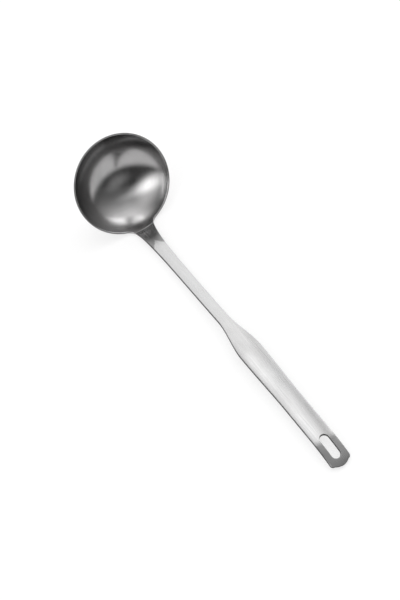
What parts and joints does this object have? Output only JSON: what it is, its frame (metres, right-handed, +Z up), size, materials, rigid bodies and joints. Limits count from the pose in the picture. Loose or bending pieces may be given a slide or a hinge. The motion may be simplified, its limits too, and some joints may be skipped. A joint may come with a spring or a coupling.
{
  "type": "soup ladle",
  "caption": "Steel soup ladle: round drawn bowl with a thin rim, slender crowned strip handle that widens into a grip, and a hooked tip with a long hang slot.",
  "frame": {"origin": "on the surface that the ladle lies on, under the middle of its box; the ladle lies on the round of its bowl and on its hooked tip", "axes": "+X from the bowl towards the tip of the handle, +Z up, +Y to the left seen from the bowl"},
  "size_m": [0.3434, 0.09, 0.0758],
  "materials": {
    "bowl_steel": "satin polished stainless steel, fine turned grain",
    "handle_steel": "satin brushed stainless steel, grain along the handle",
    "weld_steel": "ground flush and brushed"
  },
  "bodies": {
    "root": {"bowl": "bowl_steel", "neck_weld": "weld_steel", "handle": "handle_steel"}
  },
  "joints": []
}
